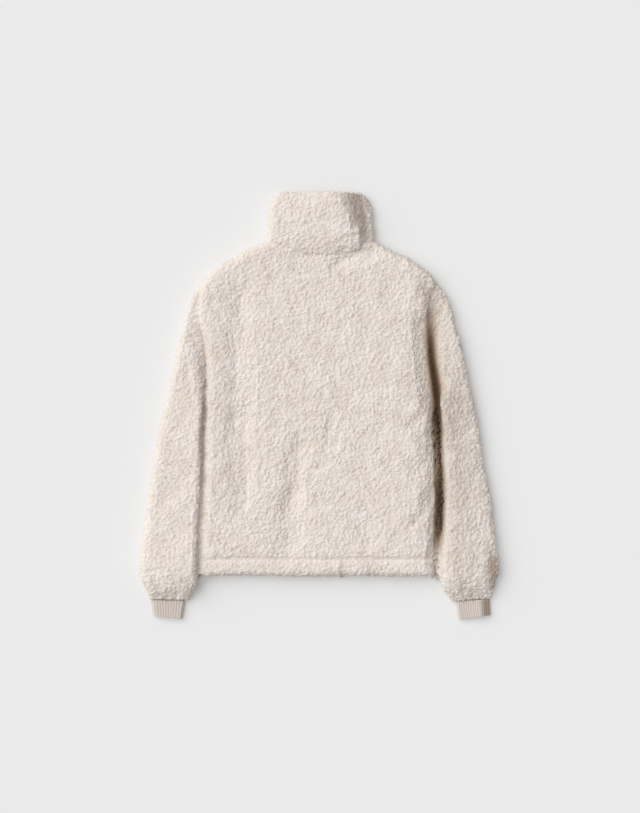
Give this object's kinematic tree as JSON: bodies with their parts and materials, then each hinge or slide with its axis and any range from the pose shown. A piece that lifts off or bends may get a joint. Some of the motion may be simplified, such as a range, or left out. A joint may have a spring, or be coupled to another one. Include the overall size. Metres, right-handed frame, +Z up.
{
  "type": "fleece jacket laid flat",
  "caption": "Short curly-pile fleece jacket with a stand-up collar and rib cuffs, laid flat face down, back up.",
  "frame": {"origin": "middle of the jacket's plan box, on the surface that it lies on", "axes": "+Y from the hem to the collar, +Z up through the back, +X towards the wearer's right"},
  "size_m": [0.6672, 0.7912, 0.0448],
  "materials": {
    "fleece": "cream curly pile fleece, matt",
    "rib_knit": "beige rib knit",
    "zip_tape": "woven tape",
    "zip_teeth": "moulded, beige",
    "zip_metal": "satin"
  },
  "bodies": {
    "jacket": {"back_panel": "fleece", "front_left": "fleece", "front_right": "fleece", "sleeve_left": "fleece", "sleeve_right": "fleece", "collar": "fleece", "cuff_left": "rib_knit", "cuff_right": "rib_knit", "zip_tape_left": "zip_tape", "zip_tape_right": "zip_tape", "zip_chain": "zip_teeth", "zip_box": "zip_metal", "zip_slider": "zip_metal"},
    "pull": {"zip_pull": "zip_metal"}
  },
  "joints": [
    {"name": "pull_swing", "type": "hinge", "parent": "jacket", "child": "pull", "pos_m": [0, 0.361, 0.0069], "axis": [1, 0, 0], "range_deg": [0, 150]}
  ]
}
